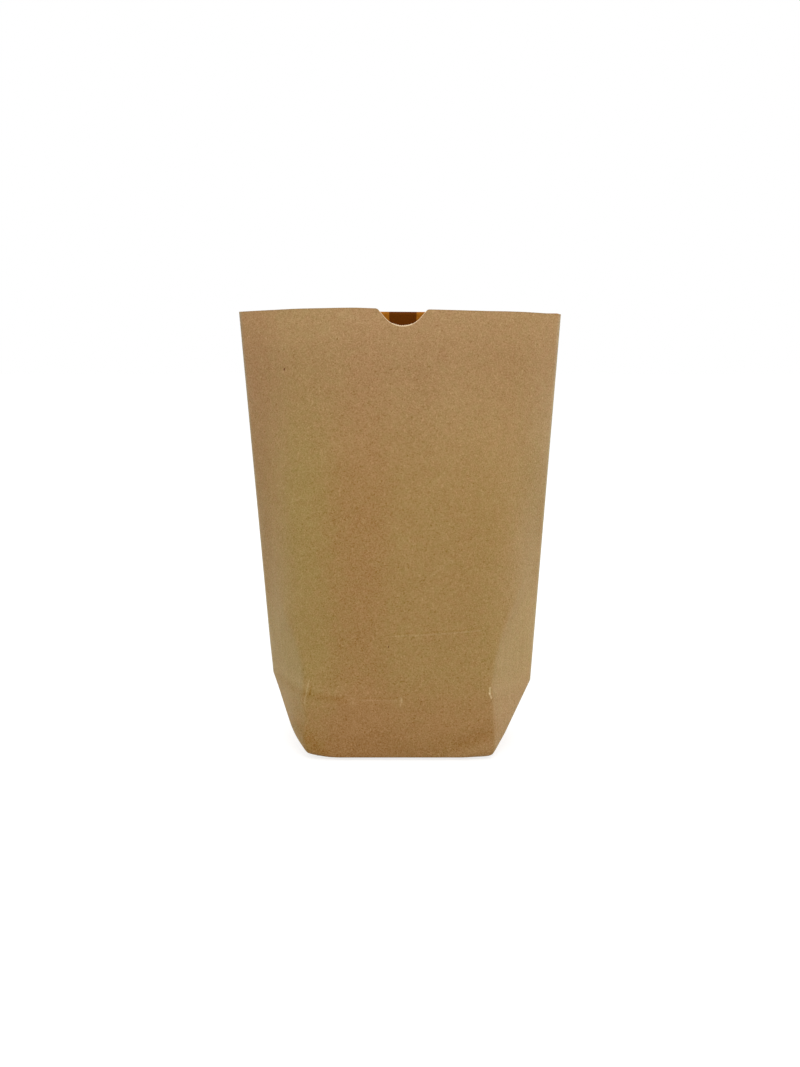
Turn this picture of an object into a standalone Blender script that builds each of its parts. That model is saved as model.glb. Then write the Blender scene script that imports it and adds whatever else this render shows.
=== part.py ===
"""Kraft paper bag with a six-sided glued bottom and a thumb notch.

The bag is one sheet: a tube glued along the back, with its lower end folded and glued into a flat base.
Opened out, the base is a rectangle between two triangular ears, which stand up as the bag's narrow sides.
Everything is worked out from the flat bag: a row of the front panel has the same length on the opened bag
as on the flat one, so the rows are bent and never stretched.

X is the bag's width, Y its depth with the notched front panel at -Y, and Z its height from the base.
"""

import math

import bmesh
import bpy
import numpy as np

# The flat bag, in metres.
flat_width = 0.160  # across the flat tube, from side crease to side crease
flat_length = 0.2090  # along a panel, from the edge of the base to the mouth
bottom_width = 0.070  # of the glued bottom, from its front edge to its back edge
paper = 0.0001  # thickness of the sheet
seam_width = 0.013  # of the glued overlap that runs down the back panel
flap_overlap = 0.020  # of the two bottom flaps, where they are glued
notch_width = 0.0230
notch_depth = 0.0078
notch_flank = math.radians(50)  # slope of the notch's straight flanks, on each side of its round bottom
notch_corner = 0.0008  # reach of the softened corner where a flank meets the mouth edge

# How far the bag stands open.
ear_lean = math.radians(31)  # of the ears, outwards from upright
mouth_opening = 0.044  # from the front panel to the back panel at the middle of the mouth
mouth_sag = 0.0014  # of the mouth's corners below its middle
belly = 1.25  # 1 draws the panels in evenly above the ears, and more keeps them full for longer
knuckle_height = 0.030  # of the knuckle on each side, where a panel's front, ear facet and upper facet meet
knuckle_place = 0.0425  # of the knuckle, across from the panel's middle
facet_top = 0.080  # here the upper facet runs out in the side crease
facet_bow = 1.8  # 1 runs the upper facet's edge straight from the knuckle, and more bows it
sink = 2.5  # 1 sinks the front evenly from its middle to the knuckle, and more only near the knuckle

# The mesh.
lower_rows = 5
upper_rows = 18
inner_columns = 5  # from the seam's edge to the edge of a panel's facet
outer_columns = 9  # from there to its end
facet_clearance = 0.006  # least width of a panel's outer columns, at the foot of its facet
widest_inner = 0.058  # furthest place across of the inner columns
step = 0.00005  # width of the step at the edge of a second layer
base_edge = 4 * step  # from the base's rim to the first line of the bottom
arc_samples = 400
end_crowding = 0.5  # below 1 sets an arch's samples closer together at its end, where it bends most
squarest = 30.0  # the most that an arch's fullness may be
halvings = 40
notch_steps = 8  # of the notch's round bottom, on each side

# The paper.
kraft_colour = (0.36, 0.22, 0.095, 1.0)
kraft_roughness = 0.85

half_width = flat_width / 2
ear_height = bottom_width / 2
base_half_length = half_width - ear_height
layers = 2  # of paper in the seam and in the glued base


def clear_scene():
    for thing in list(bpy.data.objects):
        bpy.data.objects.remove(thing, do_unlink=True)


def new_collection(name):
    collection = bpy.data.collections.new(name)
    bpy.context.scene.collection.children.link(collection)
    return collection


def kraft_material():
    """Unbleached brown paper, matt."""
    material = bpy.data.materials.new("kraft paper")
    material.use_nodes = True
    shader = material.node_tree.nodes["Principled BSDF"]
    shader.inputs["Base Color"].default_value = kraft_colour
    shader.inputs["Roughness"].default_value = kraft_roughness
    shader.inputs["Metallic"].default_value = 0.0
    return material


def arch(half_span, rise, fullness):
    """Points of half an arch from its middle to its end, and the length of paper up to each."""
    x = np.linspace(0, 1, arc_samples) ** end_crowding * half_span
    y = rise * (1 - (x / half_span) ** fullness)
    steps = np.hypot(np.diff(x), np.diff(y))
    return x, y, np.concatenate(([0], np.cumsum(steps)))


def fitted_arch(half_span, rise, length):
    """The arch of this span and rise whose half is as long as the paper: the longer, the squarer."""
    low, high = 1.0, squarest
    for _ in range(halvings):
        middle = (low + high) / 2
        if arch(half_span, rise, middle)[2][-1] < length:
            low = middle
        else:
            high = middle
    return arch(half_span, rise, low)


def mouth_half_span():
    """The mouth is a shallow parabola on each side, as long as the flat bag is wide."""
    low, high = half_width / 2, half_width
    for _ in range(halvings):
        middle = (low + high) / 2
        if arch(middle, mouth_opening / 2, 2.0)[2][-1] < half_width:
            low = middle
        else:
            high = middle
    return low


def middle_line():
    """Depth and height of the front panel's middle at distances up the panel.

    It is upright as far as the crease that runs from ear to ear, and from there it is drawn in to the mouth.
    """
    up = np.linspace(0, flat_length, arc_samples)
    drawn_in = ear_height - mouth_opening / 2
    above = np.maximum(up - ear_height, 0) / (flat_length - ear_height)
    depth = ear_height - drawn_in * above**belly
    rise = np.sqrt(np.maximum(np.diff(up) ** 2 - np.diff(depth) ** 2, 0))
    return up, depth, np.concatenate(([0], np.cumsum(rise)))


def row_heights():
    """Distances of the rows up the panel: to the top of the ears, and from there to the mouth."""
    lower = np.linspace(0, ear_height, lower_rows)
    upper = np.linspace(ear_height, flat_length, upper_rows)
    return list(lower) + list(upper[1:])


def row_end(distance):
    """Place across and height of a row's end: on the ear's side crease, and above it on the bag's."""
    ear_share = min(distance / ear_height, 1)
    crease_share = max(distance - ear_height, 0) / (flat_length - ear_height)
    tip_x = base_half_length + ear_height * math.sin(ear_lean)
    tip_z = ear_height * math.cos(ear_lean)
    corner_z = middle_line()[2][-1] - mouth_sag
    if ear_share < 1:
        return base_half_length + (tip_x - base_half_length) * ear_share, tip_z * ear_share
    return tip_x + (mouth_half_span() - tip_x) * crease_share, tip_z + (corner_z - tip_z) * crease_share


def facet_edge(distance, end_x):
    """Place across where a row's front ends and its facet begins: inwards up to the knuckle, and out above it."""
    if distance < knuckle_height:
        inwards = distance / knuckle_height
        return min(base_half_length + (knuckle_place - base_half_length) * inwards, end_x)
    climb = min((distance - knuckle_height) / (facet_top - knuckle_height), 1)
    return knuckle_place + (end_x - knuckle_place) * climb**facet_bow


def column_places(row_half, edge):
    """Places of the columns from the middle of a row to its end, with one at the edge of its facet."""
    seam_edge = seam_width / 2
    bend = min(edge, row_half - facet_clearance, widest_inner)
    inner = np.linspace(seam_edge + step, bend, inner_columns)
    outer = np.linspace(bend, row_half, outer_columns)
    return [0.0, seam_edge / 2, seam_edge] + list(inner) + list(outer[1:])


def row_shape(distance, row_half, end_x, drop):
    """A function from a place along a row to its place across, its depth, and its share of the end's height.

    The row is an arch. Low down it is folded instead: nearly flat to its facet's edge, and flat from there.
    """
    x, y, along = fitted_arch(end_x, drop, row_half)
    edge = facet_edge(distance, end_x)
    facet = max(row_half - edge, step)
    edge_drop = min(math.sqrt(max(facet**2 - (end_x - edge) ** 2, 0)), drop)
    climb = min(max((distance - knuckle_height) / (facet_top - knuckle_height), 0), 1)
    folded = 1 - climb * climb * (3 - 2 * climb)

    def blend(place):
        arch_x = np.interp(place * along[-1] / row_half, along, x)
        arched = np.array((arch_x, np.interp(arch_x, x, y), (arch_x / end_x) ** 2))
        beyond = min(max(place - edge, 0) / facet, 1)
        bent = drop + (edge_drop - drop) * min(place / edge, 1) ** sink
        flat = np.array((min(place, edge) + beyond * (end_x - edge), bent * (1 - beyond), beyond))
        return arched + folded * (flat - arched)

    def shape(place):
        if place <= edge or climb in (0, 1):
            return blend(place)
        share = (place - edge) / facet
        return blend(edge) * (1 - share) + np.array((end_x, 0.0, 1.0)) * share

    return shape


def front_rows():
    """Points of the front panel, row by row from the base, and along a row from -X to +X."""
    up, depth, height = middle_line()
    rows = []
    for distance in row_heights():
        row_half = base_half_length + min(distance, ear_height)
        end_x, end_z = row_end(distance)
        end_depth = max(ear_height - distance, 0)
        drop = np.interp(distance, up, depth) - end_depth
        middle_z = np.interp(distance, up, height)
        shape = row_shape(distance, row_half, end_x, drop)
        row = []
        for place in column_places(row_half, facet_edge(distance, end_x)):
            across, row_depth, climbed = shape(place)
            row.append((across, -row_depth - end_depth, middle_z + (end_z - middle_z) * climbed))
        left = [(-x, y, z) for x, y, z in reversed(row[1:])]
        rows.append(left + row)
    return rows


def base_lines():
    """Places of the base's lines from the front to the back, and the layers of paper at each."""
    free_edge = -flap_overlap / 2
    edge = ear_height - base_edge
    return [
        (-edge, 1),
        (free_edge - step, 1),
        (free_edge, layers),
        (0.0, layers),
        (edge, layers),
    ]


def bag_surface(collection, material):
    """The inner face of the bag as an open surface, with the layers of paper as a vertex group."""
    mesh = bmesh.new()
    weights = {}

    def point(place, layer_count=1):
        vertex = mesh.verts.new((place[0], place[1], place[2] + layers * paper))
        weights[vertex] = layer_count / layers
        return vertex

    front = front_rows()
    count = len(front[0])
    middle = count // 2
    seam_columns = range(middle - 2, middle + 3)
    front_points = [[point(place) for place in row] for row in front]
    back_points = []
    for row, points in zip(front, front_points):
        line = []
        for i, place in enumerate(row):
            mirrored = (place[0], -place[1], place[2])
            shared = i in (0, count - 1) and abs(place[1]) < 1e-9
            if shared:
                line.append(points[i])
            else:
                line.append(point(mirrored, layers if i in seam_columns else 1))
        back_points.append(line)

    def face(*corners):
        seen = list(dict.fromkeys(corners))
        if len(seen) > 2:
            mesh.faces.new(seen)

    for low, high in zip(front_points, front_points[1:]):
        for i in range(count - 1):
            face(low[i], low[i + 1], high[i + 1], high[i])
    for low, high in zip(back_points, back_points[1:]):
        for i in range(count - 1):
            face(low[i + 1], low[i], high[i], high[i + 1])
    for row in range(lower_rows - 1):
        fronts, backs = front_points[row : row + 2], back_points[row : row + 2]
        face(fronts[0][-1], backs[0][-1], backs[1][-1], fronts[1][-1])
        face(backs[0][0], fronts[0][0], fronts[1][0], backs[1][0])

    lines = [front_points[0]]
    for depth, layer_count in base_lines():
        line = []
        for i, place in enumerate(front[0]):
            inset = math.copysign(base_edge, place[0]) if i in (0, count - 1) else 0
            line.append(point((place[0] - inset, depth, 0), layer_count))
        lines.append(line)
    lines.append(back_points[0])
    for near, far in zip(lines, lines[1:]):
        for i in range(count - 1):
            face(near[i], far[i], far[i + 1], near[i + 1])
    for side in (0, -1):
        rim = [line[side] for line in lines]
        face(*(rim if side == -1 else reversed(rim)))

    bmesh.ops.triangulate(mesh, faces=mesh.faces[:])
    data = bpy.data.meshes.new("kraft_bag")
    bag = bpy.data.objects.new("kraft_bag", data)
    group = bag.vertex_groups.new(name="layers")
    mesh.verts.index_update()
    shares = {vertex.index: weight for vertex, weight in weights.items()}
    mesh.to_mesh(data)
    mesh.free()
    collection.objects.link(bag)
    for index, weight in shares.items():
        group.add([index], weight, "REPLACE")
    data.materials.append(material)
    return bag


def thicken(bag):
    """One thickness of paper outwards from the inner face, and a second one where the sheet is glued."""
    solid = bag.modifiers.new("paper", "SOLIDIFY")
    solid.thickness = layers * paper
    solid.offset = 1.0
    solid.use_even_offset = True
    solid.vertex_group = "layers"
    solid.thickness_vertex_group = 0.0


def notch_outline(top):
    """Half outline of the notch from its lowest point outwards: an arc, a straight flank and a soft corner."""
    half = notch_width / 2
    radius = (half - notch_depth / math.tan(notch_flank)) / math.tan(notch_flank / 2)
    lowest = top - notch_depth
    points = []
    for i in range(notch_steps + 1):
        angle = notch_flank * i / notch_steps
        points.append((radius * math.sin(angle), lowest + radius * (1 - math.cos(angle))))
    points.append((half - notch_corner, top - notch_corner * math.tan(notch_flank)))
    points.append((half, top - notch_corner / 2))
    points.append((half + notch_corner, top))
    points.append((half + notch_corner, top + notch_depth))
    return points


def notch_cutter(collection, top):
    """A block with the notch's outline, long enough to pass through the front panel alone."""
    half = notch_outline(top)
    outline = [(-x, z) for x, z in reversed(half[1:])] + half
    mesh = bmesh.new()
    near, far = -mouth_opening, 0.0
    fronts = [mesh.verts.new((x, near, z)) for x, z in outline]
    backs = [mesh.verts.new((x, far, z)) for x, z in outline]
    mesh.faces.new(fronts)
    mesh.faces.new(list(reversed(backs)))
    for i in range(len(outline)):
        j = (i + 1) % len(outline)
        mesh.faces.new((fronts[i], backs[i], backs[j], fronts[j]))
    bmesh.ops.recalc_face_normals(mesh, faces=mesh.faces[:])
    data = bpy.data.meshes.new("notch_cutter")
    mesh.to_mesh(data)
    mesh.free()
    cutter = bpy.data.objects.new("notch_cutter", data)
    cutter.hide_render = True
    cutter.display_type = "WIRE"
    collection.objects.link(cutter)
    return cutter


def cut(target, cutter):
    boolean = target.modifiers.new("notch", "BOOLEAN")
    boolean.operation = "DIFFERENCE"
    boolean.solver = "EXACT"
    boolean.object = cutter


def build_bag():
    clear_scene()
    parts = new_collection("kraft paper bag")
    cutters = new_collection("cutters")
    bag = bag_surface(parts, kraft_material())
    thicken(bag)
    mouth_top = middle_line()[2][-1] + layers * paper
    cut(bag, notch_cutter(cutters, mouth_top))
    bag.data.shade_smooth()
    bag.data.set_sharp_from_angle(angle=math.radians(30))


build_bag()
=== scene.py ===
import math

import bmesh
import bpy
import numpy as np
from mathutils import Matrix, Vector, noise


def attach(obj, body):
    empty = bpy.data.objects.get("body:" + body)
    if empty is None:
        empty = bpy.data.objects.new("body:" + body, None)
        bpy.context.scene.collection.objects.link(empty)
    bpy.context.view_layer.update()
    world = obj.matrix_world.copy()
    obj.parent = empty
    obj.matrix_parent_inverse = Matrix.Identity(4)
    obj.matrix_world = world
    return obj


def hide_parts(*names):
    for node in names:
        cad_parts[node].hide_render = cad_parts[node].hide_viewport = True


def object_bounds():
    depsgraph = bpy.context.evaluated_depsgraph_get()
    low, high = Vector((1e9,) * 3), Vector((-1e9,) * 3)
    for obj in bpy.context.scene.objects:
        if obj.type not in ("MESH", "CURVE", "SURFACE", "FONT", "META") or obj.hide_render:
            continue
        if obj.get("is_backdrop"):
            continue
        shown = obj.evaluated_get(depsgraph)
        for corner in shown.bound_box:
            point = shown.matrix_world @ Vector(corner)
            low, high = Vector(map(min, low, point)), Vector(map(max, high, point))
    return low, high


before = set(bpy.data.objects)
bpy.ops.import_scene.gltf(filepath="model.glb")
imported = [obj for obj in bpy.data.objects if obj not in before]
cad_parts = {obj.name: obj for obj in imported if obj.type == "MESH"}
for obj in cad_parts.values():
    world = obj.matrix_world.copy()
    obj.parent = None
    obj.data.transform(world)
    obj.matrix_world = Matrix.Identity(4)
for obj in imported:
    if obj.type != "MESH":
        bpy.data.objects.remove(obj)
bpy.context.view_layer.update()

# The sheet: one piece of unbleached kraft paper, folded into a tube 160 mm wide when flat.
# The bag stands open, so each row of a panel is an arch whose paper length is that of the flat row.
# Low down the arch is folded into facets at the ears, which meet the front in a knuckle on each side.
flat_width = 0.160
flat_length = 0.2090
bottom_width = 0.070
left_lean = math.radians(29.5)
right_lean = math.radians(33)
mouth_opening = 0.044
mouth_sag = 0.0014
belly = 1.25
paper = 0.0001
half_width = flat_width / 2
ear_height = bottom_width / 2
base_half_length = half_width - ear_height
foot_rows = 10
foot_height = 0.008
ear_rows = 26
panel_rows = 142
side_columns = 58
middle_columns = 26
middle_reach = 0.2
samples = 600
halvings = 34
squarest = 30.0
knuckle_height = 0.030
facet_bow = 1.8
sink_power = 2.5
lift = 0.0002


def smooth_step(value):
    value = np.clip(value, 0, 1)
    return value * value * (3 - 2 * value)


def arch(half_span, rise, fullness):
    """Points of half an arch from its middle to its end, and the length of paper up to each."""
    x = np.sqrt(np.linspace(0, 1, samples)) * half_span
    y = rise * (1 - (x / half_span) ** fullness)
    along = np.concatenate(([0], np.cumsum(np.hypot(np.diff(x), np.diff(y)))))
    return x, y, along


def fitted_arch(half_span, rise, length):
    """The arch of this span and rise whose half is as long as the paper: the longer, the squarer."""
    low, high = 1.0, squarest
    for _ in range(halvings):
        middle = (low + high) / 2
        if arch(half_span, rise, middle)[2][-1] < length:
            low = middle
        else:
            high = middle
    return arch(half_span, rise, low)


def mouth_half_span():
    low, high = half_width / 2, half_width
    for _ in range(halvings):
        middle = (low + high) / 2
        if arch(middle, mouth_opening / 2, 2.0)[2][-1] < half_width:
            low = middle
        else:
            high = middle
    return low


foot = np.linspace(0, foot_height, foot_rows)
lower = np.linspace(foot_height, ear_height, ear_rows - foot_rows + 1)
upper = np.linspace(ear_height, flat_length, panel_rows - ear_rows + 1)
rows = np.concatenate((foot, lower[1:], upper[1:]))
inner = np.linspace(0, middle_reach, middle_columns)
outer = np.linspace(middle_reach, 1, side_columns - middle_columns + 1)
half_shares = np.concatenate((inner, outer[1:]))
shares = np.concatenate((-half_shares[:0:-1], half_shares))
count = len(shares)
row_half = base_half_length + np.minimum(rows, ear_height)
across = row_half[:, None] * shares[None, :]
up = np.repeat(rows[:, None], count, 1)

steps = np.linspace(0, flat_length, samples)
above_ear = np.maximum(steps - ear_height, 0) / (flat_length - ear_height)
drawn_in = (ear_height - mouth_opening / 2) * above_ear**belly
middle_line = ear_height - drawn_in
rise = np.sqrt(np.maximum(np.diff(steps) ** 2 - np.diff(middle_line) ** 2, 0))
middle_height = np.concatenate(([0], np.cumsum(rise)))
ear_foot = np.array([base_half_length, 0])
mouth_corner = np.array([mouth_half_span(), middle_height[-1] - mouth_sag])


def half_row(distance, lean, hardness, knuckle, facet_top, turned_in, turn_top):
    """Half a row from the panel's middle to its end. The harder the knuckle, the flatter its facets."""
    ear_tip = np.array([base_half_length + ear_height * math.sin(lean), ear_height * math.cos(lean)])
    ear_share = min(distance / ear_height, 1)
    crease_share = max(distance - ear_height, 0) / (flat_length - ear_height)
    if ear_share < 1:
        end = ear_foot * (1 - ear_share) + ear_tip * ear_share
    else:
        end = ear_tip * (1 - crease_share) + mouth_corner * crease_share
    end = end - (turned_in * max(1 - distance / turn_top, 0), 0)
    end_depth = ear_height * (1 - ear_share)
    length = base_half_length + min(distance, ear_height)
    drop = max(np.interp(distance, steps, middle_line) - end_depth, 1e-6)
    middle_z = np.interp(distance, steps, middle_height)
    x, y, along = fitted_arch(end[0], drop, length)
    place = half_shares * length
    arch_x = np.interp(half_shares * along[-1], along, x)
    arch_y = np.interp(arch_x, x, y)
    arch_z = (arch_x / end[0]) ** 2
    climb = (distance - knuckle_height) / (facet_top - knuckle_height)
    if climb < 0:
        knee = min(base_half_length + (knuckle - base_half_length) * distance / knuckle_height, end[0])
    else:
        knee = knuckle + (end[0] - knuckle) * min(climb, 1) ** facet_bow
    knee_depth = math.sqrt(max((length - knee) ** 2 - (end[0] - knee) ** 2, 0))
    knee_depth = min(knee_depth, drop)
    beyond = np.clip((place - knee) / max(length - knee, 1e-9), 0, 1)
    before = np.minimum(place / knee, 1)
    folded = hardness * (1 - smooth_step(climb))
    across_x = arch_x + folded * (np.minimum(place, knee) + beyond * (end[0] - knee) - arch_x)
    bent = drop + (knee_depth - drop) * before**sink_power
    depth_y = arch_y + folded * (bent * (1 - beyond) - arch_y)
    share_z = arch_z + folded * (beyond - arch_z)
    if 0 < climb < 1:
        flat = np.clip((place - knee) / (length - knee), 0, 1)
        start_x, start_y, start_z = (np.interp(knee, place, line) for line in (across_x, depth_y, share_z))
        outside = hardness * (place > knee)
        across_x = across_x + outside * (start_x + (end[0] - start_x) * flat - across_x)
        depth_y = depth_y + outside * (start_y * (1 - flat) - depth_y)
        share_z = share_z + outside * (start_z + (1 - start_z) * flat - share_z)
    return np.stack((across_x, depth_y + end_depth, middle_z + (end[1] - middle_z) * share_z), 1)


def panel_points(left, right):
    """A panel's points, with Y measured outwards from the bag's middle."""
    points = np.zeros((len(rows), count, 3))
    for r, distance in enumerate(rows):
        points[r, side_columns - 1 :] = half_row(distance, *right)
        points[r, : side_columns] = (half_row(distance, *left) * (-1, 1, 1))[::-1]
    return points


def panel_normals(points):
    """Unit normals of a panel's grid, pointing out of the bag."""
    normal = np.cross(np.gradient(points, axis=0), np.gradient(points, axis=1))
    normal = normal / np.maximum(np.linalg.norm(normal, axis=2, keepdims=True), 1e-12)
    return np.where(normal[:, :, 1:2] < 0, -normal, normal)


def ridge(start, end, height, reach, softness=2.0):
    """A raised or hollow line on the flat panel, in millimetres: sharp at softness 1, and rounder above."""
    (ax, ay), (bx, by) = start, end
    u, v = across * 1000, up * 1000
    length = math.hypot(bx - ax, by - ay)
    along = ((u - ax) * (bx - ax) + (v - ay) * (by - ay)) / length
    off = ((u - ax) * (by - ay) - (v - ay) * (bx - ax)) / length
    past = np.maximum(np.maximum(-along, along - length), 0)
    return height / 1000 * np.exp(-((np.hypot(off, past) / reach) ** softness))


def ripple(size, height, seed):
    """The slight unevenness of paper that has lain folded: soft swells of about this size."""
    field = np.zeros(across.shape)
    for r in range(len(rows)):
        for c in range(count):
            place = Vector((across[r, c] / size, up[r, c] / size, seed))
            field[r, c] = noise.noise(place)
    return field * height


# The front panel: knuckles at its facets, and soft ridges and dents where it was folded and handled.
# The end columns are the creases that both panels share, so nothing there is raised.
calm_reach = 0.006
calm_edge = smooth_step((row_half[:, None] - np.abs(across)) / calm_reach)
calm_foot = smooth_step(up / calm_reach)

left_foot = (0.0016, 0.014)
right_foot = (0.0021, ear_height)
left_facet = (0.0440, 0.080)
right_facet = (0.0422, 0.088)
front_plain = panel_points(
    (left_lean, 0.55, *left_facet, *left_foot),
    (right_lean, 1.0, *right_facet, *right_foot),
)
front_relief = (
    ridge((-1.7, 40), (-1.7, 158), 1.1, 15, 1.5)
    + ridge((-52, 70), (-50, 190), 0.7, 9)
    + ridge((-31, 60), (-31, 180), -0.6, 11)
    + ridge((-76, 36), (-25, 28), 0.8, 9, 1.2)
    + ridge((-25, 28), (2, 26.5), 0.6, 8, 1.1)
    + ridge((2, 26.5), (40, 30), 0.4, 8, 1.1)
    + ridge((39.6, 34), (40.6, 28), 0.35, 2.0, 1.4)
    + ridge((-43.3, 41), (-46.8, 26), 0.4, 2.4, 1.3)
    + ridge((-2.7, 58.2), (38, 59), 0.12, 3, 1.2)
    + ridge((14, 86), (24, 93), 0.12, 3, 1.2)
    + ridge((-27, 206), (-16, 203), 0.4, 5)
    + ridge((28, 7), (44, 13), -0.7, 4)
    + ridge((-36, 9), (-46, 18), -0.5, 5)
    + ripple(0.034, 0.0009, 3.1)
    + ripple(0.013, 0.00022, 8.6)
)
front_normals = panel_normals(front_plain)
front = front_plain + (front_relief * calm_edge * calm_foot)[:, :, None] * front_normals

# The back panel and its glued seam: one edge of the sheet laps over the other, free edge at the left.
seam_width = 0.013
seam_place = 0.0014
seam_step = 0.00014
seam_blend = 0.004
seam_cut = 0.0004
from_seam = across - seam_place
lap = smooth_step((from_seam + seam_width / 2) / seam_cut)
lap = lap * smooth_step((seam_width / 2 - from_seam) / seam_blend)

back_plain = panel_points(
    (left_lean, 0.85, 0.041, 0.070, *left_foot),
    (right_lean, 0.85, 0.042, 0.066, *right_foot),
)
back_relief = (
    ridge((8, 40), (6, 170), 0.9, 17, 1.5)
    + ridge((-44, 60), (-46, 180), -0.5, 10)
    + ridge((48, 70), (50, 190), 0.5, 10)
    + ridge((-76, 36), (0, 29), 0.7, 9, 1.2)
    + ridge((0, 29), (76, 36), 0.7, 9, 1.2)
    + ridge((-38, 34), (-41, 27), 0.35, 2.2, 1.4)
    + ripple(0.036, 0.0009, 21.4)
    + ripple(0.013, 0.00022, 27.9)
    + lap * seam_step
)
back_normals = panel_normals(back_plain)
back = back_plain + (back_relief * calm_edge * calm_foot)[:, :, None] * back_normals

# The mouth: the cut end of the tube, which stands a little higher at one side than at the other.
mouth_tilt = 0.0055
dip_places = (-0.020, -0.011, 0.011, 0.040, 0.058, 0.075)
dips = (0.0, 0.0004, 0.0008, 0.0008, 0.0004, 0.0004)
for panel in (front, back, front_plain, back_plain):
    panel[:, :, 2] -= mouth_tilt * panel[:, :, 0] * (up / flat_length) ** 2
    panel[:, :, 2] += lift
front[:, :, 2] -= np.interp(front[:, :, 0], dip_places, dips) * (up / flat_length) ** 4

# The notch: a thumb cut in the front panel's mouth edge, with straight flanks and a round bottom.
# It was punched when the tube was cut to length. The columns that it crosses are shortened to its outline,
# so that the edge stays one clean cut.
notch_width = 0.0228
notch_depth = 0.0078
notch_flank = math.radians(50)
notch_corner = 0.0005
notch_place = 0.0011
notch_reach = 0.018
notch_radius = (notch_width / 2 - notch_depth / math.tan(notch_flank)) / math.tan(notch_flank / 2)


def notch_cut(u):
    """How far the notch takes the mouth edge down at a distance u from the panel's middle."""
    off = np.abs(u - notch_place)
    bottom_end = notch_radius * math.sin(notch_flank)
    arc = notch_depth - notch_radius + np.sqrt(np.maximum(notch_radius**2 - off**2, 0))
    flank = (notch_width / 2 - off) * math.tan(notch_flank)
    cut = np.where(off < bottom_end, arc, flank)
    softened = (cut + np.sqrt(cut**2 + notch_corner**2)) / 2
    fade = smooth_step((notch_width / 2 + 2 * notch_corner - off) / (2 * notch_corner))
    return softened * fade


def cut_notch(points):
    """Shortens the columns that the notch crosses."""
    cut = notch_cut(across[-1])
    trimmed = points.copy()
    start = flat_length - notch_reach
    above = rows > start
    for c in np.nonzero(cut > 1e-5)[0]:
        wanted = rows.copy()
        wanted[above] = start + (rows[above] - start) * (notch_reach - cut[c]) / notch_reach
        for axis in range(3):
            trimmed[:, c, axis] = np.interp(wanted, rows, points[:, c, axis])
    return trimmed


front = cut_notch(front)

# The bag: both panels, the ears and the glued base as one skin, a sheet's thickness deep.
# Its bottom edges are soft, because the paper is only folded there and not pressed.
soft_height = 0.010
soft_rounds = 40
soft_pull = 0.7
edge_softness = 0.22
corner_reach = 0.012
fine_lines = np.linspace(0, foot_height, foot_rows) / bottom_width
middle_lines = np.linspace(foot_height, bottom_width - foot_height, 15)[1:-1] / bottom_width
depth_shares = np.concatenate((fine_lines, middle_lines, 1 - fine_lines[::-1]))
ear_columns = len(depth_shares) - 1
front_sign = np.array([1, -1, 1])  # the panels' points are measured outwards, and the front faces -Y
mesh = bmesh.new()
front_verts = [[mesh.verts.new(p) for p in row] for row in front * front_sign]
back_verts = []
for r, row in enumerate(back):
    line = [mesh.verts.new(p) for p in row[1:-1]]
    if rows[r] >= ear_height - 1e-9:
        line = [front_verts[r][0], *line, front_verts[r][-1]]
    else:
        line = [mesh.verts.new(row[0]), *line, mesh.verts.new(row[-1])]
    back_verts.append(line)

for low, high in zip(front_verts, front_verts[1:]):
    for i in range(count - 1):
        mesh.faces.new((low[i], low[i + 1], high[i + 1], high[i]))
for low, high in zip(back_verts, back_verts[1:]):
    for i in range(count - 1):
        mesh.faces.new((low[i + 1], low[i], high[i], high[i + 1]))

ear_feet = []
for side in (0, -1):
    lines = []
    for r in range(ear_rows - 1):
        near, far = front_verts[r][side], back_verts[r][side]
        line = [near]
        for k in range(1, ear_columns):
            line.append(mesh.verts.new(near.co.lerp(far.co, depth_shares[k])))
        lines.append(line + [far])
    tip = front_verts[ear_rows - 1][side]
    for low, high in zip(lines, lines[1:]):
        for k in range(ear_columns):
            quad = [low[k], low[k + 1], high[k + 1], high[k]]
            mesh.faces.new(quad if side == -1 else quad[::-1])
    for k in range(ear_columns):
        corner = [lines[-1][k], lines[-1][k + 1], tip]
        mesh.faces.new(corner if side == -1 else corner[::-1])
    ear_feet.append(lines[0])

base_grid = [front_verts[0]]
for k in range(1, ear_columns):
    line = [ear_feet[0][k]]
    for i in range(1, count - 1):
        line.append(mesh.verts.new(front_verts[0][i].co.lerp(back_verts[0][i].co, depth_shares[k])))
    base_grid.append(line + [ear_feet[1][k]])
base_grid.append(back_verts[0])
for near, far in zip(base_grid, base_grid[1:]):
    for i in range(count - 1):
        mesh.faces.new((near[i], far[i], far[i + 1], near[i + 1]))

# The base's corners stand a little off the table, the left front one most, and the left ear's tip is high.
corner_lifts = {
    (-1, -1): (0.0024, 0.016),
    (1, -1): (0.0015, 0.010),
    (-1, 1): (0.0012, 0.010),
    (1, 1): (0.0012, 0.010),
}
tip_raised = 0.0028
tip_reach = 0.024
corner_top = 0.012
front_raised = 0.0008
for vertex in mesh.verts:
    x, y, z = vertex.co
    near_tip = smooth_step(1 - abs(z - knuckle_height) / tip_reach) * smooth_step((-x - 0.040) / 0.020)
    vertex.co.z += tip_raised * float(near_tip)
    side = 1 if x > 0 else -1
    raised, reach = corner_lifts[(side, 1 if y > 0 else -1)]
    away = math.hypot(base_half_length - abs(x), ear_height - abs(y))
    at_corner = raised * float(smooth_step(1 - away / reach))
    at_front = front_raised * float(smooth_step((-y - 0.020) / 0.014))
    vertex.co.z += max(at_corner, at_front) * float(smooth_step(1 - z / corner_top))

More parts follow.
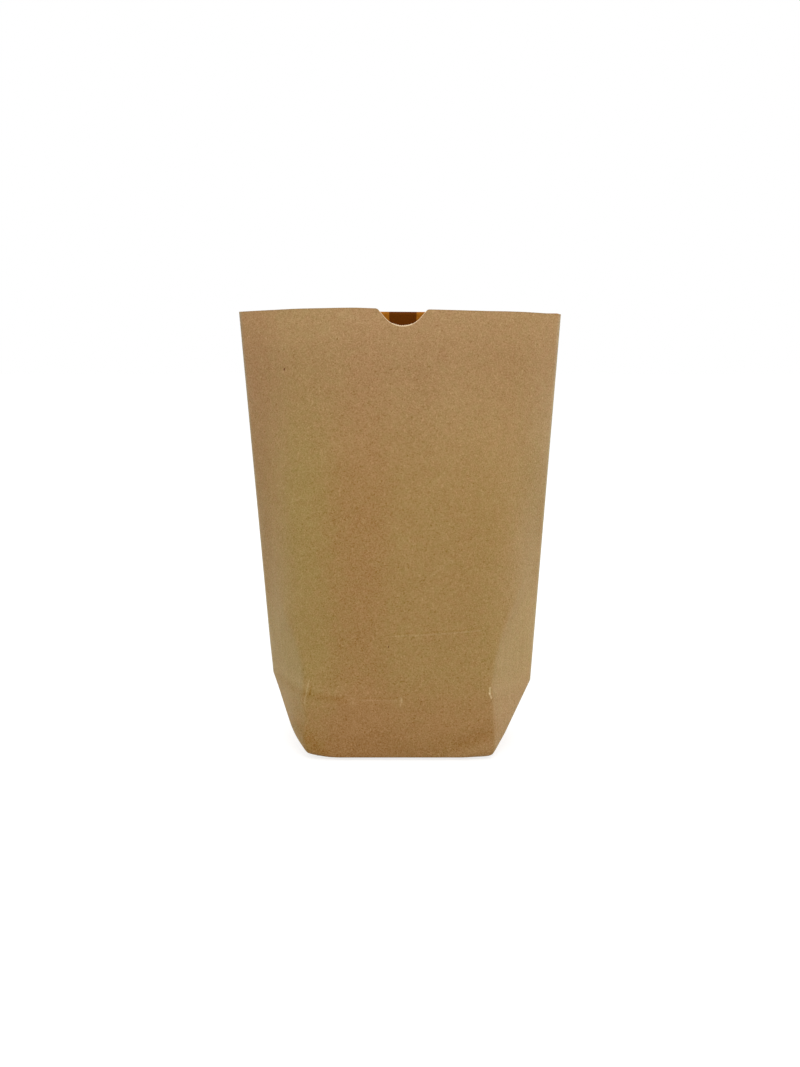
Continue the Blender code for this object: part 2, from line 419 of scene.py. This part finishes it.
data = bpy.data.meshes.new("bag_sheet")
mesh.to_mesh(data)
mesh.free()
bag = bpy.data.objects.new("bag_sheet", data)
bpy.context.scene.collection.objects.link(bag)
softness = bag.vertex_groups.new(name="soft foot")
for vertex in data.vertices:
    corner = Vector((base_half_length, ear_height, 0)) - Vector((abs(vertex.co.x), abs(vertex.co.y), 0))
    at_corner = float(smooth_step(1.4 - corner.length / corner_reach))
    softened = edge_softness + (1 - edge_softness) * at_corner
    amount = float(smooth_step(1 - vertex.co.z / soft_height)) * softened
    if amount > 0:
        softness.add([vertex.index], amount, "REPLACE")
rounded = bag.modifiers.new("soft foot", "SMOOTH")
rounded.factor = soft_pull
rounded.iterations = soft_rounds
rounded.vertex_group = softness.name
solid = bag.modifiers.new("paper", "SOLIDIFY")
solid.thickness = paper
solid.offset = -1.0
data.shade_smooth()

# Painted highlight on the facets beside the ears: the paper there is made a little paler where the light
# catches them.
facet_highlights = {-1: (*left_facet, 0.04, 0.0), 1: (*right_facet, 0.11, 0.03)}
painted_highlight = np.zeros(across.shape)
facets = np.zeros(across.shape)
for side, (knuckle, facet_top, upper_highlight, lower_highlight) in facet_highlights.items():
    climb = np.clip((up - knuckle_height) / (facet_top - knuckle_height), -1, 1)
    fold = knuckle + (row_half[:, None] - knuckle) * np.maximum(climb, 0) ** facet_bow
    inside_facet = (side * across - fold) / np.maximum(row_half[:, None] - fold, 0.002)
    strength = 0.6 * smooth_step(inside_facet / 0.15) + 0.4 * smooth_step(inside_facet / 0.7)
    upper_part = smooth_step(climb / 0.08) * smooth_step((1 - climb) / 0.25)
    lower_part = smooth_step(-climb / 0.08) * smooth_step((up - 0.006) / 0.006)
    painted_highlight += strength * (upper_highlight * upper_part + lower_highlight * lower_part)
    facets += smooth_step(inside_facet / 0.3 + 0.4) * smooth_step((1 - climb) / 0.25)
for name, values in (("pale", painted_highlight), ("facet", facets)):
    attribute = data.attributes.new(name, "FLOAT", "POINT")
    for index, value in enumerate(values.ravel()):
        attribute.data[index].value = value

# Kraft paper: long brown wood fibres, so it is mottled, with darker specks of bark and paler fibres.
# A little light passes through the sheet; the inside of the open bag is painted a deep orange-brown for the
# glow of that light.
greenest = (0.368, 0.250, 0.069, 1)
reddest = (0.400, 0.211, 0.069, 1)
fleck_colour = (0.30, 0.225, 0.136)
crease_shading_colour = (0.30, 0.28, 0.19)
sheen_colour = (1.0, 0.98, 0.62, 1)
passes_through = 0.15
kraft = bpy.data.materials.new("brown kraft paper")
kraft.use_nodes = True
nodes, links = kraft.node_tree.nodes, kraft.node_tree.links
shader = nodes["Principled BSDF"]
surface = nodes["Material Output"]
place = nodes.new("ShaderNodeTexCoord").outputs["Object"]


def math_node(kind, first, second=None, third=None):
    step = nodes.new("ShaderNodeMath")
    step.operation = kind
    for socket, value in zip(step.inputs, (first, second, third)):
        if isinstance(value, (int, float)):
            socket.default_value = value
        elif value is not None:
            links.new(value, socket)
    return step.outputs[0]


def stretched(scale, turn=0.0, shift=0.0):
    """The paper's own coordinates, stretched along the fibres."""
    mapping = nodes.new("ShaderNodeMapping")
    links.new(place, mapping.inputs["Vector"])
    mapping.inputs["Location"].default_value = (shift, shift, shift)
    mapping.inputs["Rotation"].default_value = (0, turn, 0)
    mapping.inputs["Scale"].default_value = scale
    return mapping.outputs["Vector"]


def mottle(vector, scale, detail=3.0, roughness=0.55, distortion=0.0):
    """A noise between -1 and 1 or so, by its size in metres."""
    texture = nodes.new("ShaderNodeTexNoise")
    links.new(vector, texture.inputs["Vector"])
    texture.inputs["Scale"].default_value = scale
    texture.inputs["Detail"].default_value = detail
    texture.inputs["Roughness"].default_value = roughness
    texture.inputs["Distortion"].default_value = distortion
    return math_node("MULTIPLY_ADD", texture.outputs["Fac"], 4.0, -2.0)


def total(parts):
    result = parts[0]
    for part in parts[1:]:
        result = math_node("ADD", result, part)
    return result


def between(value, low, high, to_low, to_high):
    ranged = nodes.new("ShaderNodeMapRange")
    ranged.interpolation_type = "SMOOTHSTEP"
    links.new(value, ranged.inputs["Value"])
    for name, number in (("From Min", low), ("From Max", high), ("To Min", to_low), ("To Max", to_high)):
        ranged.inputs[name].default_value = number
    return ranged.outputs["Result"]


fleck = mottle(place, 1350, 1.0, 0.6, 0.5)
grain = mottle(place, 2600, 0.0)
cloud = mottle(place, 160, 1.0)
ribs = mottle(stretched((1300, 1300, 30)), 1.0, 0.0)
pale_thread = mottle(stretched((1900, 1900, 800), 0.6, 3.1), 1.0, 0.0)
pale_fibres = between(pale_thread, 0.55, 1.1, 0.0, 1.0)
dark_thread = mottle(stretched((900, 900, 1900), -0.5, 11.0), 1.0, 0.0)
dark_fibres = between(dark_thread, 0.6, 1.15, 0.0, 1.0)

speck_cells = nodes.new("ShaderNodeTexVoronoi")
links.new(stretched((300, 300, 210), 0.4), speck_cells.inputs["Vector"])
speck_cells.inputs["Scale"].default_value = 1.0
speck_pick = nodes.new("ShaderNodeSeparateColor")
links.new(speck_cells.outputs["Color"], speck_pick.inputs["Color"])
speck_size = between(speck_pick.outputs["Red"], 0.955, 1.0, 0.02, 0.20)
specks = between(math_node("SUBTRACT", speck_size, speck_cells.outputs["Distance"]), 0.0, 0.03, 0.0, 1.0)

# Painted light and shade of fine creases and folds on the front, paler on their lit sides and darker on
# their shaded ones: (start, end, width, how much paler or darker), in metres across and up.
split = nodes.new("ShaderNodeSeparateXYZ")
links.new(place, split.inputs["Vector"])
flat_place = nodes.new("ShaderNodeCombineXYZ")
links.new(split.outputs["X"], flat_place.inputs["X"])
links.new(split.outputs["Z"], flat_place.inputs["Z"])
on_front = math_node("LESS_THAN", split.outputs["Y"], 0.0)
at_back = math_node("SUBTRACT", 1.0, on_front)


def vector_math(kind, first, second):
    step = nodes.new("ShaderNodeVectorMath")
    step.operation = kind
    for socket, value in zip(step.inputs, (first, second)):
        if isinstance(value, tuple):
            socket.default_value = value
        else:
            links.new(value, socket)
    return step


def crease_shading_line(start, end, width, strength):
    """A soft straight line of painted light on the paper, or of painted shade where its strength is below
    0, by its distance from the nearest point between its ends.
    """
    run = (end[0] - start[0], 0.0, end[1] - start[1])
    length = math.hypot(run[0], run[2])
    along = (run[0] / length**2, 0.0, run[2] / length**2)
    offset = vector_math("SUBTRACT", flat_place.outputs[0], (start[0], 0.0, start[1])).outputs["Vector"]
    share = math_node("MULTIPLY", vector_math("DOT_PRODUCT", offset, along).outputs["Value"], 1.0)
    share.node.use_clamp = True
    nearest = nodes.new("ShaderNodeVectorMath")
    nearest.operation = "SCALE"
    nearest.inputs[0].default_value = run
    links.new(share, nearest.inputs["Scale"])
    away = vector_math("DISTANCE", offset, nearest.outputs["Vector"]).outputs["Value"]
    return between(away, 0.0, width, strength, 0.0)


# Painted highlights and shade along the creases: paired pale and dark lines for a crease's lit and shaded
# sides, and wider bands for the lit and shaded folds near the bottom corners.
lines = [
    crease_shading_line((-0.0027, 0.0592), (0.0377, 0.0608), 0.0006, 0.15),
    crease_shading_line((-0.0027, 0.0603), (0.0377, 0.0619), 0.0007, -0.08),
    crease_shading_line((-0.0192, 0.0290), (-0.0015, 0.0291), 0.0006, 0.13),
    crease_shading_line((-0.0192, 0.0301), (-0.0015, 0.0302), 0.0007, -0.08),
    crease_shading_line((0.0004, 0.0306), (0.0010, 0.0286), 0.0008, 0.30),
    crease_shading_line((0.0006, 0.0292), (0.0002, 0.0268), 0.0007, 0.22),
    crease_shading_line((0.0420, 0.0339), (0.0417, 0.0314), 0.0007, 0.75),
    crease_shading_line((0.0417, 0.0314), (0.0426, 0.0292), 0.0007, 0.75),
    crease_shading_line((-0.0423, 0.0376), (-0.0436, 0.0318), 0.0006, 0.28),
    crease_shading_line((-0.0437, 0.0312), (-0.0446, 0.0268), 0.0007, 0.24),
    crease_shading_line((-0.0412, 0.0345), (-0.0420, 0.0310), 0.0007, -0.26),
    crease_shading_line((0.0140, 0.0872), (0.0240, 0.0939), 0.0010, 0.08),
    crease_shading_line((-0.0276, 0.0350), (-0.0212, 0.0275), 0.0025, 0.06),
    crease_shading_line((-0.0590, 0.0330), (-0.0260, 0.0288), 0.0030, -0.10),
    crease_shading_line((-0.0560, 0.0370), (-0.0300, 0.0325), 0.0030, 0.05),
    crease_shading_line((-0.0480, 0.0140), (-0.0370, 0.0040), 0.0065, -0.13),
    crease_shading_line((-0.0270, 0.2052), (-0.0170, 0.2030), 0.0030, 0.06),
    crease_shading_line((0.0230, 0.0015), (0.0440, 0.0070), 0.0040, 0.10),
    crease_shading_line((0.0280, 0.0080), (0.0430, 0.0130), 0.0035, -0.06),
]
seam_free = math_node("ABSOLUTE", math_node("ADD", split.outputs["X"], seam_width / 2 - seam_place))
seam_line = math_node("MULTIPLY", between(seam_free, 0.0001, 0.0005, 1.0, 0.0), at_back)
facet_highlight = nodes.new("ShaderNodeAttribute")
facet_highlight.attribute_name = "pale"
on_facet = nodes.new("ShaderNodeAttribute")
on_facet.attribute_name = "facet"
on_facet = on_facet.outputs["Fac"]


def window(value, low, high, soft):
    """1 between two places, falling softly to 0 outside them."""
    rising = between(value, low - soft, low + soft, 0.0, 1.0)
    return math_node("MULTIPLY", rising, between(value, high - soft, high + soft, 1.0, 0.0))


def patch(across_share, up_share, strength):
    """A soft patch of the paper, by its shares across and up."""
    return math_node("MULTIPLY", math_node("MULTIPLY", across_share, up_share), strength)


# Painted light and shade in wide soft patches: lighter at the top, a little darker in the lower part and
# much darker at the very bottom, darker down the left edge, in a band left of the middle and at the right
# edge at mid height, and lighter high up right of the middle.
over, height = split.outputs["X"], split.outputs["Z"]
painted_shading = total([
    math_node("MULTIPLY", between(height, 0.180, 0.206, 0.0, 1.0), 0.15),
    math_node("MULTIPLY", between(height, 0.100, 0.160, 1.0, 0.0), -0.035),
    math_node("MULTIPLY", between(height, 0.003, 0.022, 1.0, 0.0), -0.12),
    math_node("MULTIPLY", between(over, -0.066, -0.054, 1.0, 0.0), -0.08),
    patch(between(over, -0.066, -0.056, 1.0, 0.0), window(height, 0.085, 0.15, 0.012), -0.08),
    patch(window(over, -0.036, -0.005, 0.008), window(height, 0.035, 0.13, 0.02), -0.06),
    patch(window(over, 0.016, 0.052, 0.010), window(height, 0.13, 0.178, 0.02), 0.08),
    patch(window(over, 0.058, 0.080, 0.006), window(height, 0.098, 0.14, 0.01), -0.09),
])
value = total([
    painted_shading,
    math_node("MULTIPLY", fleck, 0.21),
    math_node("MULTIPLY", grain, 0.15),
    math_node("MULTIPLY", cloud, 0.035),
    math_node("MULTIPLY", math_node("MULTIPLY", ribs, on_facet), 0.05),
    math_node("MULTIPLY", pale_fibres, 0.18),
    math_node("MULTIPLY", dark_fibres, -0.22),
    math_node("MULTIPLY", specks, -0.8),
    # the painted highlight on the facets beside the ears
    facet_highlight.outputs["Fac"],
    math_node("MULTIPLY", seam_line, -0.22),
])

# The paper's tint wanders: greener and redder in soft bands up the bag, and redder near the bottom.
# The flecks are greyer than the paper, so they are added to the tint rather than multiplied.
drift = mottle(stretched((30, 30, 9), 0.0, 4.4), 1.0, 1.0)
blush = mottle(place, 330, 0.0)


def band(value, middle, reach):
    """1 at the middle of a soft band, and 0 beyond its reach."""
    away = math_node("ABSOLUTE", math_node("SUBTRACT", value, middle))
    return between(away, 0.0, reach, 1.0, 0.0)


low_down = between(height, 0.015, 0.045, 1.0, 0.0)
high_up = between(height, 0.12, 0.19, 0.0, 1.0)
below_top = math_node("MULTIPLY_ADD", high_up, -0.6, 1.0)
above_ears = between(height, 0.065, 0.085, 0.0, 1.0)
bands = total([
    math_node("MULTIPLY", band(over, -0.045, 0.019), -0.60),
    math_node("MULTIPLY", band(over, -0.018, 0.020), 0.52),
    patch(band(over, -0.075, 0.016), above_ears, 0.45),
])
redness = total([
    math_node("MULTIPLY", drift, 0.2),
    math_node("MULTIPLY", blush, 0.2),
    math_node("MULTIPLY", bands, below_top),
    math_node("MULTIPLY", low_down, 0.75),
    math_node("MULTIPLY", high_up, 0.30),
    # the facets are made greener, the colour of the painted highlight on them
    math_node("MULTIPLY", on_facet, -0.18),
])
hue = nodes.new("ShaderNodeMix")
hue.data_type = "RGBA"
links.new(between(redness, -1.2, 1.2, 0.0, 1.0), hue.inputs["Factor"])
hue.inputs["A"].default_value = greenest
hue.inputs["B"].default_value = reddest
cooler = nodes.new("ShaderNodeCombineXYZ")
links.new(math_node("MULTIPLY", high_up, 0.012), cooler.inputs["Z"])
tint = nodes.new("ShaderNodeVectorMath")
links.new(hue.outputs["Result"], tint.inputs[0])
links.new(cooler.outputs["Vector"], tint.inputs[1])
flecked = nodes.new("ShaderNodeVectorMath")
flecked.operation = "MULTIPLY_ADD"
links.new(value, flecked.inputs[0])
flecked.inputs[1].default_value = fleck_colour
links.new(tint.outputs["Vector"], flecked.inputs[2])
crease_shaded = nodes.new("ShaderNodeVectorMath")
crease_shaded.operation = "MULTIPLY_ADD"
links.new(math_node("MULTIPLY", total(lines), on_front), crease_shaded.inputs[0])
crease_shaded.inputs[1].default_value = crease_shading_colour
links.new(flecked.outputs["Vector"], crease_shaded.inputs[2])
colour = crease_shaded.outputs["Vector"]
links.new(colour, shader.inputs["Base Color"])
shader.inputs["Specular IOR Level"].default_value = 0.4
shader.inputs["Roughness"].default_value = 0.6
shader.inputs["Sheen Weight"].default_value = 0.35
shader.inputs["Sheen Roughness"].default_value = 0.35
shader.inputs["Sheen Tint"].default_value = sheen_colour
relief = nodes.new("ShaderNodeBump")
relief.inputs["Strength"].default_value = 0.4
relief.inputs["Distance"].default_value = 0.0001
links.new(fleck, relief.inputs["Height"])
links.new(relief.outputs["Normal"], shader.inputs["Normal"])
glow = nodes.new("ShaderNodeBsdfTranslucent")
links.new(colour, glow.inputs["Color"])
sheet = nodes.new("ShaderNodeMixShader")
sheet.inputs["Fac"].default_value = passes_through
links.new(shader.outputs["BSDF"], sheet.inputs[1])
links.new(glow.outputs["BSDF"], sheet.inputs[2])
links.new(sheet.outputs["Shader"], surface.inputs["Surface"])
data.materials.append(kraft)

# Inside, the paper's colour is painted a deep orange-brown: the glow of light that has passed through it.
# The seam's two layers are painted there as a darker band down the back, the shade where less light comes
# through.
seam_edge = 0.0004
painted_inside_glow = (0.46, 0.165, 0.011, 1)
painted_seam_shade = (0.155, 0.040, 0.0005, 1)
inside = bpy.data.materials.new("kraft paper inside")
inside.use_nodes = True
nodes, links = inside.node_tree.nodes, inside.node_tree.links
shader = nodes["Principled BSDF"]
place = nodes.new("ShaderNodeTexCoord").outputs["Object"]
split = nodes.new("ShaderNodeSeparateXYZ")
links.new(place, split.inputs["Vector"])
inner_fleck = mottle(place, 950, 1.0, 0.6)
from_middle = math_node("ABSOLUTE", math_node("SUBTRACT", split.outputs["X"], seam_place))
in_seam = between(from_middle, seam_width / 2, seam_width / 2 + seam_edge, 1.0, 0.0)
at_back = math_node("GREATER_THAN", split.outputs["Y"], 0.0)
seam_shade_mix = nodes.new("ShaderNodeMix")
seam_shade_mix.data_type = "RGBA"
links.new(math_node("MULTIPLY", in_seam, at_back), seam_shade_mix.inputs["Factor"])
seam_shade_mix.inputs["A"].default_value = painted_inside_glow
seam_shade_mix.inputs["B"].default_value = painted_seam_shade
tone = nodes.new("ShaderNodeVectorMath")
tone.operation = "SCALE"
links.new(seam_shade_mix.outputs["Result"], tone.inputs[0])
links.new(math_node("MULTIPLY_ADD", inner_fleck, 0.1, 1.0), tone.inputs["Scale"])
links.new(tone.outputs["Vector"], shader.inputs["Base Color"])
shader.inputs["Roughness"].default_value = 0.9
shader.inputs["Specular IOR Level"].default_value = 0.1
data.materials.append(inside)
solid.material_offset = 1
solid.material_offset_rim = 1
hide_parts("kraft_bag")
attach(bag, "root")

# The notch's cut edge: the punch left the fibres bare there, so the edge is a thin pale line.
# It is the sheet's own edge, drawn as a narrow rim just proud of both faces, with fine torn teeth.
rim_width = 0.00028
rim_proud = 0.00002
tooth_height = 0.00060
tooth_pitch = 0.00085
teeth_reach = 0.0048
steps_between = 4
least_cut = 0.0003
fibre_colour = (0.80, 0.60, 0.38)
cut_columns = np.nonzero(notch_cut(across[-1]) > least_cut)[0]
rng = np.random.default_rng(5)
mesh = bmesh.new()
loops = []
fine_columns = np.arange(cut_columns[0], cut_columns[-1] + 0.5 / steps_between, 1 / steps_between)
for place in fine_columns:
    c = min(int(place), count - 2)
    share = place - c
    edge = Vector((front[-1, c] * (1 - share) + front[-1, c + 1] * share) * front_sign)
    below = Vector((front[-2, c] * (1 - share) + front[-2, c + 1] * share) * front_sign)
    out = Vector(front_normals[-1, c] * front_sign)
    down = (below - edge).normalized()
    off = edge.x - notch_place
    saw = abs((off / tooth_pitch) % 1 - 0.5) * 2
    fade = float(smooth_step((teeth_reach - abs(off)) / 0.001))
    tooth = tooth_height * saw * rng.uniform(0.3, 1.0) * fade
    top = edge - down * (rim_proud + tooth)
    low = edge + down * rim_width
    outer_face = out * rim_proud
    inner_face = -out * (paper + rim_proud)
    ring = (top + outer_face, low + outer_face, low + inner_face, top + inner_face)
    loops.append([mesh.verts.new(p) for p in ring])
for near, far in zip(loops, loops[1:]):
    for i in range(4):
        j = (i + 1) % 4
        mesh.faces.new((near[i], near[j], far[j], far[i]))
mesh.faces.new(loops[0][::-1])
mesh.faces.new(loops[-1])
bmesh.ops.recalc_face_normals(mesh, faces=mesh.faces[:])
data = bpy.data.meshes.new("notch_cut_edge")
mesh.to_mesh(data)
mesh.free()
rim = bpy.data.objects.new("notch_cut_edge", data)
bpy.context.scene.collection.objects.link(rim)
bare = bpy.data.materials.new("bare cut fibres")
bare.use_nodes = True
nodes, links = bare.node_tree.nodes, bare.node_tree.links
shader = nodes["Principled BSDF"]
place = nodes.new("ShaderNodeTexCoord").outputs["Object"]
tone = nodes.new("ShaderNodeVectorMath")
tone.operation = "SCALE"
tone.inputs[0].default_value = fibre_colour
links.new(math_node("MULTIPLY_ADD", mottle(place, 1500, 1.0), 0.12, 1.0), tone.inputs["Scale"])
links.new(tone.outputs["Vector"], shader.inputs["Base Color"])
shader.inputs["Roughness"].default_value = 0.9
data.materials.append(bare)
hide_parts("kraft_bag")
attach(rim, "root")

# The bottom flaps: the tube's end, folded in along 45 degree creases and glued, one flap over the other.
# They are the same paper, and lie under the base with their free edges past its middle.
flap_lap = 0.010
flap_inset = 0.006
flap_tuck = 0.0004
for name, side, level in (("front_bottom_flap", -1, 0.0001), ("back_bottom_flap", 1, 0.0)):
    mesh = bmesh.new()
    outline = []
    profile = (
        (ear_height - flap_inset, flap_tuck),
        (ear_height - 2 * flap_inset, level),
        (0.5 * flap_lap, level),
        (-0.5 * flap_lap, level),
    )
    for depth, height in profile:
        half = base_half_length - (ear_height - depth)
        outline.append([mesh.verts.new((x, side * depth, height)) for x in (-half, half)])
    for near, far in zip(outline, outline[1:]):
        quad = (near[0], near[1], far[1], far[0])
        mesh.faces.new(quad if side > 0 else quad[::-1])
    data = bpy.data.meshes.new(name)
    mesh.to_mesh(data)
    mesh.free()
    flap = bpy.data.objects.new(name, data)
    bpy.context.scene.collection.objects.link(flap)
    sheet = flap.modifiers.new("paper", "SOLIDIFY")
    sheet.thickness = paper
    sheet.offset = -1.0
    data.materials.append(kraft)
    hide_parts("kraft_bag")
    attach(flap, "root")

# The floor: a plain white table that the bag stands on.
# Seen straight on it almost glows, and the bag is lit by its plain white.
floor_seen = 0.36
floor_glow = 0.78
floor_white = 0.80
floor_size = 60
floor_gap = 0.0002


def straight_or_mirrored(tree):
    """1 for rays that come from the eye, straight, mirrored or through something clear."""
    path = tree.nodes.new("ShaderNodeLightPath")
    kinds = path.outputs["Is Camera Ray"]
    for kind in ("Is Glossy Ray", "Is Transmission Ray"):
        most = tree.nodes.new("ShaderNodeMath")
        most.operation = "MAXIMUM"
        tree.links.new(kinds, most.inputs[0])
        tree.links.new(path.outputs[kind], most.inputs[1])
        kinds = most.outputs[0]
    return kinds


bpy.ops.mesh.primitive_plane_add(size=floor_size, location=(0, 0, -floor_gap))
floor = bpy.context.object
floor.name = "floor"
white = bpy.data.materials.new("white table")
white.use_nodes = True
fn, fl = white.node_tree.nodes, white.node_tree.links
fn.clear()
surface = fn.new("ShaderNodeOutputMaterial")
lit = fn.new("ShaderNodeBsdfDiffuse")
lit.inputs["Color"].default_value = (floor_white, floor_white, floor_white, 1)
looks = fn.new("ShaderNodeBsdfDiffuse")
looks.inputs["Color"].default_value = (floor_seen, floor_seen, floor_seen, 1)
bright = fn.new("ShaderNodeEmission")
bright.inputs["Strength"].default_value = floor_glow
both = fn.new("ShaderNodeAddShader")
fl.new(looks.outputs["BSDF"], both.inputs[0])
fl.new(bright.outputs["Emission"], both.inputs[1])
either = fn.new("ShaderNodeMixShader")
fl.new(straight_or_mirrored(white.node_tree), either.inputs["Fac"])
fl.new(lit.outputs["BSDF"], either.inputs[1])
fl.new(both.outputs["Shader"], either.inputs[2])
fl.new(either.outputs["Shader"], surface.inputs["Surface"])
floor.data.materials.append(white)
floor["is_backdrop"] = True

# The light: an even white room, a soft box above the camera, one low at each side and one behind.
room_light = 0.70
world = bpy.data.worlds.new("studio")
bpy.context.scene.world = world
world.use_nodes = True
wn, wl = world.node_tree.nodes, world.node_tree.links
wn.clear()
sky = wn.new("ShaderNodeOutputWorld")
mix = wn.new("ShaderNodeMixShader")
seen = wn.new("ShaderNodeBackground")
seen.inputs["Strength"].default_value = 1.0
seen.inputs["Color"].default_value = (1, 1, 1, 1)
fill = wn.new("ShaderNodeBackground")
fill.inputs["Strength"].default_value = room_light
fill.inputs["Color"].default_value = (1, 1, 1, 1)
wl.new(straight_or_mirrored(world.node_tree), mix.inputs["Fac"])
wl.new(fill.outputs["Background"], mix.inputs[1])
wl.new(seen.outputs["Background"], mix.inputs[2])
wl.new(mix.outputs["Shader"], sky.inputs["Surface"])


def area_lamp(name, position, target, size, power):
    lamp = bpy.data.lights.new(name, "AREA")
    lamp.shape = "SQUARE"
    lamp.size = size
    lamp.energy = power
    holder = bpy.data.objects.new(name, lamp)
    bpy.context.scene.collection.objects.link(holder)
    holder.location = position
    holder.rotation_euler = (Vector(target) - Vector(position)).to_track_quat("-Z", "Y").to_euler()
    return holder


area_lamp("key softbox", (0.1, -0.8, 0.8), (0, 0, 0.13), 0.6, 4.0)
area_lamp("right softbox", (0.97, 0.26, 0.05), (0, 0, 0.03), 0.4, 3.7)
area_lamp("left softbox", (-0.97, 0.26, 0.05), (0, 0, 0.03), 0.4, 1.2)
area_lamp("back softbox", (-0.3, 1.1, 0.9), (0, 0, 0.15), 0.8, 3)

# The camera, at the height and distance from which the bag was seen.
camera_distance = 0.5813
camera_height = 0.1817
target_height = 0.1021
camera = bpy.data.cameras.new("camera")
camera.sensor_width = 36
camera.lens = 40.54
holder = bpy.data.objects.new("camera", camera)
bpy.context.scene.collection.objects.link(holder)
drop = camera_height - target_height
holder.location = (0, -math.sqrt(camera_distance**2 - drop**2), camera_height)
aim = Vector((0, 0, target_height)) - holder.location
holder.rotation_euler = aim.to_track_quat("-Z", "Y").to_euler()
bpy.context.scene.camera = holder
bpy.context.scene.view_settings.view_transform = "Standard"

low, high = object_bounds()
